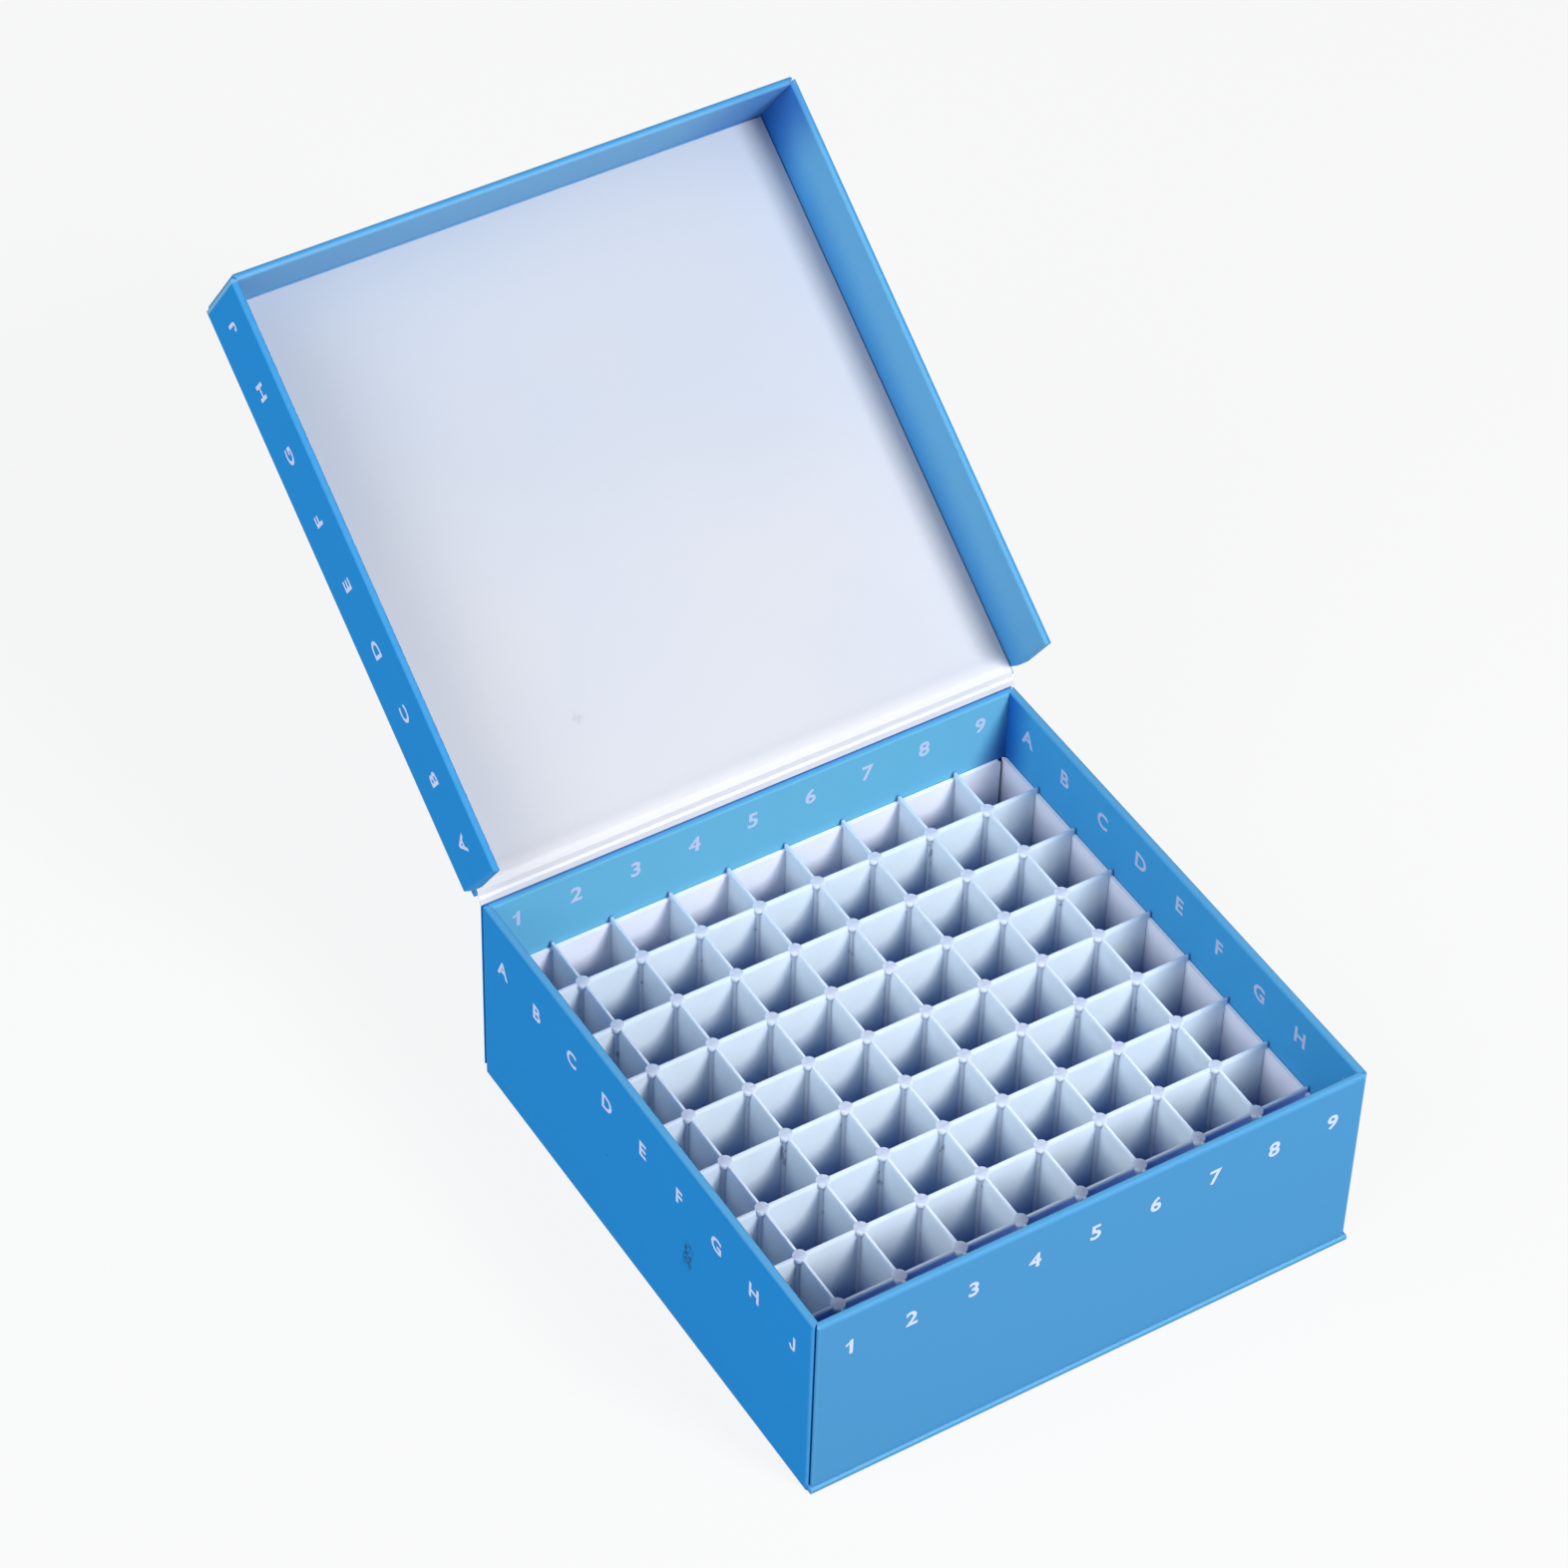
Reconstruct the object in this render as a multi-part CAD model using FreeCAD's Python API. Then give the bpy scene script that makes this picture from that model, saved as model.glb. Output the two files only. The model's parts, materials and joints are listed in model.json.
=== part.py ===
import FreeCAD, Part
import math
import os

from FreeCAD import Vector

# Hinged-lid cardboard freezer box with a moulded cell divider.
# Millimetres. The origin is the centre of the tray's underside, +Z is up,
# the lid hinges along the back (+Y) and is modelled standing open.

# Outside of the box when it is shut
tray_width = 128.0
tray_depth = 128.0
closed_height = 52.07

# Paper-covered board of the tray
tray_board = 2.0
floor_board = 2.0
rim_outer_radius = 0.85
rim_inner_radius = 0.75
foot_radius = 0.4

# Folded edge of the base that stands proud along the front
ledge_height = 1.5
ledge_proud = 0.6
ledge_radius = 0.45
ledge_end_inset = 0.4

# Open seam where two covered boards meet at an upright corner
seam_lip_radius = 0.45
seam_width = 0.28
seam_depth = 0.55

# Card liner that stands on the floor inside the tray
liner_card = 0.8
liner_clearance = 0.2
liner_height = 29.0
liner_corner_radius = 1.2
liner_split = 0.7
liner_split_flare = 0.6

# Moulded divider, hung by its lugs on the liner
cells_across = 9
end_cell = 11.77
divider_web = 0.6
divider_end_clearance = 0.2
divider_floor_clearance = 0.3
lug_height = 1.6
lug_clearance = 0.2
post_head_radius = 1.5
post_head_height = 0.9
post_neck_height = 1.1
post_stem_radius = 0.97
post_sides = 12

# Lid
lid_panel = 2.0
lid_wall = 1.6
lid_depth = 21.5
lid_side_clearance = 0.5
lid_front_clearance = 1.9
lid_edge_radius = 0.65
lid_fold_radius = 0.6
lid_nose_radius = 0.6
lid_rim_gap = 0.45

# Hinge ends of the lid's side walls, measured from the panel's hinge edge
wall_end_at_panel = 1.9
wall_end_at_bulge = 0.7
wall_end_at_mouth = 1.4
wall_bulge_drop = 6.4
wall_bulge_radius = 14.0

# Hinge line, just behind the tray and above its rim
hinge_behind = 0.57
hinge_above_rim = 1.58
panel_past_tray = 0.2
lid_open_angle = 144.0

# White lining sheet of the lid, which runs on over the hinge to the tray's rim
lining = 0.35
lining_side_gap = 0.35
lining_front_gap = 0.35
lining_lift = 0.02
lining_radius = 0.15
lining_bend_inset = 0.3
rim_left_bare = 1.4
lower_crease = 1.2
upper_crease = 1.9
crease_bulge = 0.12

# Covering paper that joins the back of the tray to the lid
hinge_paper = 0.3
hinge_paper_foot = 1.5
hinge_paper_inset = 0.3
hinge_paper_bend = 0.7
hinge_paper_gap = 0.15

# Sizes that follow from the ones above
tray_height = closed_height - lid_panel - lining - lid_rim_gap
half_width = tray_width / 2
half_depth = tray_depth / 2
inner_half_width = half_width - tray_board
inner_half_depth = half_depth - tray_board

liner_half_width = inner_half_width - liner_clearance
liner_half_depth = inner_half_depth - liner_clearance
liner_top = floor_board + liner_height

well_half_width = liner_half_width - liner_card
well_half_depth = liner_half_depth - liner_card
divider_top = liner_top + lug_height
divider_foot = floor_board + divider_floor_clearance
wall_count = cells_across - 1
pitch_x = 2 * (well_half_width - end_cell - divider_web / 2) / (wall_count - 1)
pitch_y = 2 * (well_half_depth - end_cell - divider_web / 2) / (wall_count - 1)

lid_inside_half_width = half_width + lid_side_clearance
lid_half_width = lid_inside_half_width + lid_wall
lid_back = half_depth + panel_past_tray
lid_inside_front = -(half_depth + lid_front_clearance)
lid_front = lid_inside_front - lid_wall
lid_ceiling = closed_height - lid_panel
lid_mouth = closed_height - lid_depth

hinge_y = half_depth + hinge_behind
hinge_z = tray_height + hinge_above_rim

# Overshoot of cutting tools past the faces they cut
overshoot = 1.0


def block(x0, x1, y0, y1, z0, z1):
    """Box between two corners."""
    return Part.makeBox(x1 - x0, y1 - y0, z1 - z0, Vector(x0, y0, z0))


def rounded_outline(corners):
    """Closed wire through (point, radius) corners, each rounded by a tangent arc."""
    turns = []
    for index, (point, radius) in enumerate(corners):
        back = (corners[index - 1][0] - point).normalize()
        ahead = (corners[(index + 1) % len(corners)][0] - point).normalize()
        half_angle = back.getAngle(ahead) / 2
        reach = radius / math.tan(half_angle)
        to_point = radius / math.sin(half_angle) - radius
        middle = point + (back + ahead).normalize() * to_point
        turns.append((point + back * reach, middle, point + ahead * reach))
    edges = []
    for index, (arrive, middle, leave) in enumerate(turns):
        if corners[index][1] > 0:
            edges.append(Part.Arc(arrive, middle, leave).toShape())
        following = turns[(index + 1) % len(turns)][0]
        edges.append(Part.LineSegment(leave, following).toShape())
    return Part.Wire(edges)


def extruded(outline, direction):
    """Solid between a flat closed wire and its copy moved along direction."""
    return Part.Face(outline).extrude(direction)


def across_width(outline, half_span):
    """Solid swept left to right from an outline drawn in the plane x = 0."""
    moved = outline.copy()
    moved.translate(Vector(-half_span, 0, 0))
    return extruded(moved, Vector(2 * half_span, 0, 0))


def board_section(half_span, thickness, low, high, low_radii, high_radii):
    """Section of the left-hand board, in the plane y = 0.

    The radii are given as (outer, inner) pairs.
    """
    outer = -half_span
    inner = -half_span + thickness
    return rounded_outline([
        (Vector(outer, 0, low), low_radii[0]),
        (Vector(inner, 0, low), low_radii[1]),
        (Vector(inner, 0, high), high_radii[1]),
        (Vector(outer, 0, high), high_radii[0]),
    ])


def seam_cutter(corner_x, corner_y, low, high):
    """Space between two rounded board edges at an upright corner.

    Drawn for a corner at the origin whose boards run towards -X and -Y, then
    turned to face the corner's own way.
    """
    slope = math.sqrt(0.5)
    lip = seam_lip_radius
    start = lip * (1 + 2 * slope) + seam_width * slope
    shoulder = Vector(lip * math.sin(math.pi / 8 * 3), lip * math.cos(math.pi / 8 * 3), 0)
    mouth = Vector(lip * slope, -lip * slope, 0)
    centre = Vector(-start, -lip, 0)
    sunk = Vector(-seam_depth * slope, -seam_depth * slope, 0)

    def mirrored(point):
        return Vector(point.y, point.x, 0)

    straight = [
        [centre + mouth, centre + mouth + sunk, mirrored(centre + mouth + sunk), mirrored(centre + mouth)],
        [Vector(0, -start, 0), Vector(overshoot, -start, 0), Vector(overshoot, overshoot, 0),
         Vector(-start, overshoot, 0), Vector(-start, 0, 0)],
    ]
    edges = [
        Part.Arc(Vector(-start, 0, 0), centre + shoulder, centre + mouth).toShape(),
        Part.Arc(mirrored(centre + mouth), mirrored(centre + shoulder), Vector(0, -start, 0)).toShape(),
    ]
    for path in straight:
        for here, there in zip(path[:-1], path[1:]):
            edges.append(Part.LineSegment(here, there).toShape())
    outline = Part.Wire(Part.__sortEdges__(edges))
    cutter = extruded(outline, Vector(0, 0, high - low + 2 * overshoot))
    facing = math.degrees(math.atan2(math.copysign(1, corner_y), math.copysign(1, corner_x)))
    cutter.rotate(Vector(0, 0, 0), Vector(0, 0, 1), facing - 45)
    cutter.translate(Vector(corner_x, corner_y, low - overshoot))
    return cutter


def make_tray():
    """Open tray: four covered boards round a floor, with a ledge along the front."""
    section = board_section(half_width, tray_board, 0, tray_height,
                            (foot_radius, 0), (rim_outer_radius, rim_inner_radius))
    path = Part.makePolygon([
        Vector(-half_width, 0, 0),
        Vector(-half_width, -half_depth, 0),
        Vector(half_width, -half_depth, 0),
        Vector(half_width, half_depth, 0),
        Vector(-half_width, half_depth, 0),
        Vector(-half_width, 0, 0),
    ])
    walls = path.makePipeShell([section], True, False, 1)
    floor = block(-inner_half_width, inner_half_width, -inner_half_depth, inner_half_depth, 0, floor_board)
    ledge = across_width(rounded_outline([
        (Vector(0, -half_depth - ledge_proud, 0), ledge_radius),
        (Vector(0, -half_depth + tray_board / 2, 0), 0),
        (Vector(0, -half_depth + tray_board / 2, ledge_height), 0),
        (Vector(0, -half_depth - ledge_proud, ledge_height), ledge_radius),
    ]), half_width - ledge_end_inset)
    tray = walls.fuse(floor)
    for side in (-1, 1):
        for end in (-1, 1):
            tray = tray.cut(seam_cutter(side * half_width, end * half_depth, 0, tray_height))
    return tray.fuse(ledge).removeSplitter()


def make_liner_frame():
    """Ring of card that lines the lower half of the tray, open at one corner."""

    def ring_outline(half_x, half_y, radius):
        return rounded_outline([
            (Vector(-half_x, -half_y, floor_board), radius),
            (Vector(half_x, -half_y, floor_board), radius),
            (Vector(half_x, half_y, floor_board), radius),
            (Vector(-half_x, half_y, floor_board), radius),
        ])

    up = Vector(0, 0, liner_height)
    outside = extruded(ring_outline(liner_half_width, liner_half_depth, liner_corner_radius), up)
    inside = extruded(ring_outline(well_half_width, well_half_depth, liner_corner_radius - liner_card), up)
    split_left = well_half_width - liner_split
    split = Part.makePolygon([
        Vector(split_left, well_half_depth - overshoot, floor_board - overshoot),
        Vector(well_half_width, well_half_depth - overshoot, floor_board - overshoot),
        Vector(well_half_width, well_half_depth - overshoot, liner_top + overshoot),
        Vector(split_left - liner_split_flare, well_half_depth - overshoot, liner_top + overshoot),
        Vector(split_left - liner_split_flare, well_half_depth - overshoot, liner_top),
        Vector(split_left, well_half_depth - overshoot, liner_top - liner_split_flare),
        Vector(split_left, well_half_depth - overshoot, floor_board - overshoot),
    ])
    return outside.cut(inside).cut(extruded(split, Vector(0, liner_card + 2 * overshoot, 0)))


def divider_wall(place, half_reach, half_seat):
    """One wall of the divider along X at y = place, with a lug at each end.

    half_reach is the half length between the liner's faces, half_seat the half
    length over the lugs that rest on the liner's top edge.
    """
    outline = Part.makePolygon([
        Vector(-half_reach, place - divider_web / 2, divider_foot),
        Vector(half_reach, place - divider_web / 2, divider_foot),
        Vector(half_reach, place - divider_web / 2, liner_top),
        Vector(half_seat, place - divider_web / 2, liner_top),
        Vector(half_seat, place - divider_web / 2, divider_top),
        Vector(-half_seat, place - divider_web / 2, divider_top),
        Vector(-half_seat, place - divider_web / 2, liner_top),
        Vector(-half_reach, place - divider_web / 2, liner_top),
        Vector(-half_reach, place - divider_web / 2, divider_foot),
    ])
    return extruded(outline, Vector(0, divider_web, 0))


def divider_post():
    """Post at a crossing: flat head, tapering neck and straight stem, with many flat sides."""
    neck_top = divider_top - post_head_height
    neck_foot = neck_top - post_neck_height

    def ring(radius, height):
        corners = [Vector(radius * math.cos(2 * math.pi * side / post_sides),
                          radius * math.sin(2 * math.pi * side / post_sides), height)
                   for side in range(post_sides)]
        return Part.makePolygon(corners + corners[:1])

    return Part.makeLoft([
        ring(post_stem_radius, divider_foot),
        ring(post_stem_radius, neck_foot),
        ring(post_head_radius, neck_top),
        ring(post_head_radius, divider_top),
    ], True, True)


def make_divider():
    """Lattice of crossing walls with a post at every crossing."""
    quarter_turn = (Vector(0, 0, 0), Vector(0, 0, 1), 90)
    rows = []
    columns = []
    for index in range(wall_count):
        step = index - (wall_count - 1) / 2
        rows.append(divider_wall(step * pitch_y, well_half_width - divider_end_clearance,
                                 inner_half_width - lug_clearance))
        column = divider_wall(step * pitch_x, well_half_depth - divider_end_clearance,
                              inner_half_depth - lug_clearance)
        column.rotate(*quarter_turn)
        columns.append(column)
    post = divider_post()
    posts = []
    for row in range(wall_count):
        for column in range(wall_count):
            copy = post.copy()
            copy.translate(Vector((column - (wall_count - 1) / 2) * pitch_x,
                                  (row - (wall_count - 1) / 2) * pitch_y, 0))
            posts.append(copy)
    lattice = rows[0].multiFuse(rows[1:] + columns + posts)
    return lattice.removeSplitter()


def opened(shape):
    """Shape drawn with the lid shut, swung to where the open lid holds it."""
    swung = shape.copy()
    swung.rotate(Vector(0, hinge_y, hinge_z), Vector(1, 0, 0), -lid_open_angle)
    return swung


def opened_point(y, z):
    """Point of the shut lid in the plane x = 0, where the open lid holds it."""
    return opened(Part.Vertex(0, y, z)).Point


def make_lid():
    """Lid: a panel with a front wall and two side walls, and no wall at the hinge."""
    section = board_section(lid_half_width, lid_wall, lid_mouth, closed_height,
                            (lid_edge_radius, lid_edge_radius), (lid_fold_radius, 0))
    section.translate(Vector(0, lid_back, 0))
    path = Part.makePolygon([
        Vector(-lid_half_width, lid_back, 0),
        Vector(-lid_half_width, lid_front, 0),
        Vector(lid_half_width, lid_front, 0),
        Vector(lid_half_width, lid_back, 0),
    ])
    walls = path.makePipeShell([section], True, False, 1)
    for side in (-1, 1):
        walls = walls.cut(seam_cutter(side * lid_half_width, lid_front, lid_mouth, closed_height))
    behind = rounded_outline([
        (Vector(0, lid_back - wall_end_at_panel, closed_height), 0),
        (Vector(0, lid_back - wall_end_at_bulge, closed_height - wall_bulge_drop), wall_bulge_radius),
        (Vector(0, lid_back - wall_end_at_mouth, lid_mouth), 0),
        (Vector(0, lid_back - wall_end_at_mouth, lid_mouth - overshoot), 0),
        (Vector(0, lid_back + overshoot, lid_mouth - overshoot), 0),
        (Vector(0, lid_back + overshoot, closed_height + overshoot), 0),
        (Vector(0, lid_back - wall_end_at_panel, closed_height + overshoot), 0),
    ])
    walls = walls.cut(across_width(behind, lid_half_width + overshoot))
    panel = across_width(rounded_outline([
        (Vector(0, lid_inside_front, lid_ceiling), 0),
        (Vector(0, lid_back, lid_ceiling), lid_nose_radius),
        (Vector(0, lid_back, closed_height), lid_nose_radius),
        (Vector(0, lid_inside_front, closed_height), 0),
    ]), lid_inside_half_width)
    return opened(walls.fuse(panel).removeSplitter())


def bent_sheet(path, thickness, radius, half_span):
    """Sheet of even thickness, laid on the left of a path drawn in the plane x = 0."""
    left = []
    for index, point in enumerate(path):
        ahead = (path[min(index + 1, len(path) - 1)] - path[max(index, 1) - 1]
                 if index in (0, len(path) - 1) else None)
        if ahead is None:
            before = (point - path[index - 1]).normalize()
            after = (path[index + 1] - point).normalize()
            ahead = before + after
            stretch = 1 / math.cos(before.getAngle(after) / 2)
        else:
            stretch = 1
        normal = Vector(0, -ahead.z, ahead.y).normalize()
        left.append(point + normal * (thickness * stretch))
    ends = (0, len(path) - 1)
    corners = [(point, 0 if index in ends else radius) for index, point in enumerate(path)]
    corners += [(point, 0 if index in ends else radius + thickness)
                for index, point in reversed(list(enumerate(left)))]
    return across_width(rounded_outline(corners), half_span)


def make_lid_lining():
    """White sheet on the lid's inner face, creased over the hinge down to the rim."""
    rim_end = Vector(0, inner_half_depth + rim_left_bare + lining, tray_height + lining_lift)
    leaves_panel = opened_point(lid_back - lining_bend_inset, lid_ceiling - lining_lift)
    far_end = opened_point(lid_inside_front + lining_front_gap, lid_ceiling - lining_lift)
    rise = (leaves_panel - rim_end).normalize()
    outwards = Vector(0, rise.z, -rise.y)
    path = [
        rim_end,
        rim_end + rise * lower_crease - outwards * crease_bulge,
        rim_end + rise * upper_crease + outwards * crease_bulge,
        leaves_panel,
        far_end,
    ]
    return bent_sheet(path, lining, lining_radius, lid_inside_half_width - lining_side_gap)


def make_hinge_cover():
    """Covering paper glued up the back of the tray and bent over to the open lid."""
    panel_edge = opened_point(lid_back + hinge_paper_gap, closed_height - lid_panel / 2)
    path = [
        panel_edge,
        Vector(0, half_depth, tray_height - rim_outer_radius + hinge_paper_bend / 2),
        Vector(0, half_depth, hinge_paper_foot),
    ]
    return bent_sheet(path, hinge_paper, hinge_paper_bend, half_width - hinge_paper_inset)


nodes = {
    "tray": make_tray(),
    "liner_frame": make_liner_frame(),
    "divider": make_divider(),
    "lid": make_lid(),
    "lid_lining": make_lid_lining(),
    "hinge_cover": make_hinge_cover(),
}

os.makedirs("parts", exist_ok=True)
for name, shape in nodes.items():
    shape.exportStep("parts/" + name + ".step")
    print(name, "valid", shape.isValid(), "solids", len(shape.Solids), "volume", round(shape.Volume, 1))
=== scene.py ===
"""Looks of a hinged-lid cardboard freezer box with a moulded divider, for Blender 4.5."""
import json
import logging
import math
from dataclasses import dataclass, field
from enum import Enum
from typing import Iterable, Sequence, Union

import bmesh
import bpy
from mathutils import Matrix, Vector


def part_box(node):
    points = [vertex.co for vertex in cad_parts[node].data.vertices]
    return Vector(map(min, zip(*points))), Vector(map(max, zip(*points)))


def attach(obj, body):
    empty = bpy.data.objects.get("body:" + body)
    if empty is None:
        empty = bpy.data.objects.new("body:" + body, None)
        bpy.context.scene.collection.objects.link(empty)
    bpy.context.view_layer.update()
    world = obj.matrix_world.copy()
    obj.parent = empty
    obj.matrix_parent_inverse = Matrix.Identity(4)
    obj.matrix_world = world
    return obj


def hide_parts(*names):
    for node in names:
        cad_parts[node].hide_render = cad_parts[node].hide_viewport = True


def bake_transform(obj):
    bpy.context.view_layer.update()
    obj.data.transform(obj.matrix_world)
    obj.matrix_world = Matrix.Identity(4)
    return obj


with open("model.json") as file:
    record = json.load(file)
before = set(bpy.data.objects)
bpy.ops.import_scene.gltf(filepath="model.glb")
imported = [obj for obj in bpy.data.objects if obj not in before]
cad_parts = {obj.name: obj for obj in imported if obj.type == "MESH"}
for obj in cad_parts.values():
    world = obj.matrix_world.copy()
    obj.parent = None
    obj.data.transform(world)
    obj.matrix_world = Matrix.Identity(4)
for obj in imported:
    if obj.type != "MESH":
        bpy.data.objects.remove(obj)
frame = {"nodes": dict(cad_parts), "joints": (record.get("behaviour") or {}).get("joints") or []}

LOG = logging.getLogger("freezer_box")
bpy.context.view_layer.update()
MM = 0.001
SAME_PLACE = 1e-7

BOX_BODY = "box"
LID_BODY = "lid"

Colour = tuple[float, float, float]
Pair = tuple[float, float]
Number = Union[float, "Field"]


def srgb(red: int, green: int, blue: int) -> Colour:
    """Linear colour from 8-bit display values.

    Args:
        red, green, blue: Display values from 0 to 255.

    Returns:
        The three linear components.
    """

    def linear(value: int) -> float:
        share = value / 255
        return share / 12.92 if share <= 0.04045 else ((share + 0.055) / 1.055) ** 2.4

    return linear(red), linear(green), linear(blue)


@dataclass(frozen=True)
class BoxSizes:
    """Sizes that the looks share with the box, in metres."""

    tray_board: float = 2.0 * MM
    liner_top: float = 31.0 * MM
    lid_wall: float = 1.6 * MM
    lid_panel: float = 2.0 * MM
    lid_depth: float = 21.5 * MM
    lid_back: float = 64.2 * MM
    lid_front: float = -67.5 * MM
    closed_height: float = 52.07 * MM
    open_angle: float = math.radians(144)
    pitch: float = 13.98 * MM
    cells: int = 9

    @property
    def half_width(self) -> float:
        """Half the tray's outer width."""
        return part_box("tray")[1][0]

    @property
    def half_depth(self) -> float:
        """Half the tray's outer depth, at its back face."""
        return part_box("tray")[1][1]

    @property
    def tray_height(self) -> float:
        """Height of the tray's rim."""
        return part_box("tray")[1][2]

    @property
    def hinge(self) -> Vector:
        """A point of the hinge line in the plane x = 0."""
        return Vector(frame["joints"][0]["pos_m"])

    @property
    def lid_half_width(self) -> float:
        """Half the lid's outer width."""
        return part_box("lid")[1][0]

    def opened(self, x: float, y: float, z: float) -> Vector:
        """Where a point of the shut lid lies on the open lid."""
        turn = Matrix.Rotation(-self.open_angle, 4, "X")
        return turn @ (Vector((x, y, z)) - self.hinge) + self.hinge


SIZES = BoxSizes()


class Field:
    """A value that a material works out at each point of a surface."""

    def __init__(self, graph: "Graph", socket: bpy.types.NodeSocket) -> None:
        self.graph = graph
        self.socket = socket

    def _maths(self, operation: str, *others: Number) -> "Field":
        """Result of a Math node on this value and others."""
        return self.graph.maths(operation, self, *others)

    def __add__(self, other: Number) -> "Field":
        """This value plus another."""
        return self._maths("ADD", other)

    __radd__ = __add__

    def __mul__(self, other: Number) -> "Field":
        """This value times another."""
        return self._maths("MULTIPLY", other)

    __rmul__ = __mul__

    def __sub__(self, other: Number) -> "Field":
        """This value less another."""
        return self._maths("SUBTRACT", other)

    def __rsub__(self, other: Number) -> "Field":
        """Another value less this one."""
        return self.graph.maths("SUBTRACT", other, self)

    def __abs__(self) -> "Field":
        """Size of this value without its sign."""
        return self._maths("ABSOLUTE")

    def larger(self, other: Number) -> "Field":
        """The larger of two values."""
        return self._maths("MAXIMUM", other)

    def smaller(self, other: Number) -> "Field":
        """The smaller of two values."""
        return self._maths("MINIMUM", other)

    def ramp(self, start: float, end: float) -> "Field":
        """Smooth step from 0 where this value is start to 1 where it is end."""
        node = self.graph.node(
            "ShaderNodeMapRange",
            {"interpolation_type": "SMOOTHSTEP", "clamp": True},
            {"Value": self, "From Min": start, "From Max": end, "To Min": 0.0, "To Max": 1.0},
        )
        return Field(self.graph, node.outputs["Result"])


class NodeTree:
    """A node tree that is built up node by node."""

    def __init__(self, tree: bpy.types.NodeTree) -> None:
        self.tree = tree

    def node(self, kind: str, settings: dict, inputs: dict) -> bpy.types.Node:
        """Adds a node.

        Args:
            kind: Type name of the node.
            settings: Attributes of the node, set first.
            inputs: Sockets by name or index, each given a value, a Field or a socket.

        Returns:
            The node.
        """
        made = self.tree.nodes.new(kind)
        for key, value in settings.items():
            setattr(made, key, value)
        for key, value in inputs.items():
            self.feed(made.inputs[key], value)
        return made

    def feed(self, target: bpy.types.NodeSocket, value: object) -> None:
        """Links a socket to a Field or socket, or sets its own value."""
        if isinstance(value, Field):
            self.tree.links.new(value.socket, target)
        elif isinstance(value, bpy.types.NodeSocket):
            self.tree.links.new(value, target)
        elif isinstance(value, tuple) and target.type == "RGBA":
            target.default_value = (*value, 1.0)
        else:
            target.default_value = value


class Graph(NodeTree):
    """Node tree of one material, with its Principled shader."""

    def __init__(self, name: str) -> None:
        self.material = bpy.data.materials.new(name)
        self.material.use_nodes = True
        super().__init__(self.material.node_tree)
        self.shader = self.tree.nodes["Principled BSDF"]

    def maths(self, operation: str, *values: Number) -> Field:
        """Result of one Math node."""
        node = self.node("ShaderNodeMath", {"operation": operation}, dict(enumerate(values)))
        return Field(self, node.outputs[0])

    def place(self) -> bpy.types.NodeSocket:
        """Object coordinates, which are the box's own frame in metres."""
        return self.node("ShaderNodeTexCoord", {}, {}).outputs["Object"]

    def shut_place(self) -> bpy.types.NodeSocket:
        """Object coordinates of the lid, turned back to where the shut lid has them."""
        turn = Matrix.Rotation(SIZES.open_angle, 3, "X")
        shift = SIZES.hinge - turn @ SIZES.hinge
        node = self.node("ShaderNodeMapping", {"vector_type": "POINT"},
                         {"Vector": self.place(), "Location": tuple(shift),
                          "Rotation": (SIZES.open_angle, 0.0, 0.0)})
        return node.outputs["Vector"]

    def axes(self, place: bpy.types.NodeSocket) -> tuple[Field, Field, Field]:
        """The x, y and z of a place."""
        node = self.node("ShaderNodeSeparateXYZ", {}, {"Vector": place})
        return tuple(Field(self, output) for output in node.outputs)

    def noise(self, place: object, size: float, detail: float = 2.0, roughness: float = 0.5,
              stretch: Colour = (1.0, 1.0, 1.0)) -> Field:
        """Noise from 0 to 1 whose blobs are about size metres wide.

        Args:
            place: Coordinates that the noise reads.
            size: Width of a blob in metres.
            detail: Octaves of finer noise.
            roughness: Share that the finer octaves get.
            stretch: Factor on each axis before the noise is read.

        Returns:
            The noise value.
        """
        scaled = self.node("ShaderNodeVectorMath", {"operation": "MULTIPLY"},
                           {0: place, 1: stretch})
        node = self.node("ShaderNodeTexNoise", {"noise_dimensions": "3D"},
                         {"Vector": scaled.outputs[0], "Scale": 1 / size, "Detail": detail,
                          "Roughness": roughness})
        return Field(self, node.outputs[0])

    def blend(self, first: object, second: object, share: Number) -> bpy.types.NodeSocket:
        """Colour that goes from first to second as share goes from 0 to 1."""
        node = self.node("ShaderNodeMix", {"data_type": "RGBA", "clamp_factor": True},
                         {"Factor": share})
        self.feed(node.inputs[6], first)
        self.feed(node.inputs[7], second)
        return node.outputs[2]

    def bump(self, height: Field, distance: float, strength: float) -> bpy.types.NodeSocket:
        """Normal that follows a height field."""
        node = self.node("ShaderNodeBump", {}, {"Height": height, "Distance": distance,
                                                "Strength": strength})
        return node.outputs["Normal"]

    def finish(self, **sockets: object) -> bpy.types.Material:
        """Feeds the Principled shader, whose socket names are given with underscores."""
        for name, value in sockets.items():
            self.feed(self.shader.inputs[name.replace("_", " ")], value)
        return self.material


class Board(Enum):
    """Which covered board a paper finish is for."""

    TRAY = "tray"
    LID = "lid"
    HINGE = "hinge"


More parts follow.
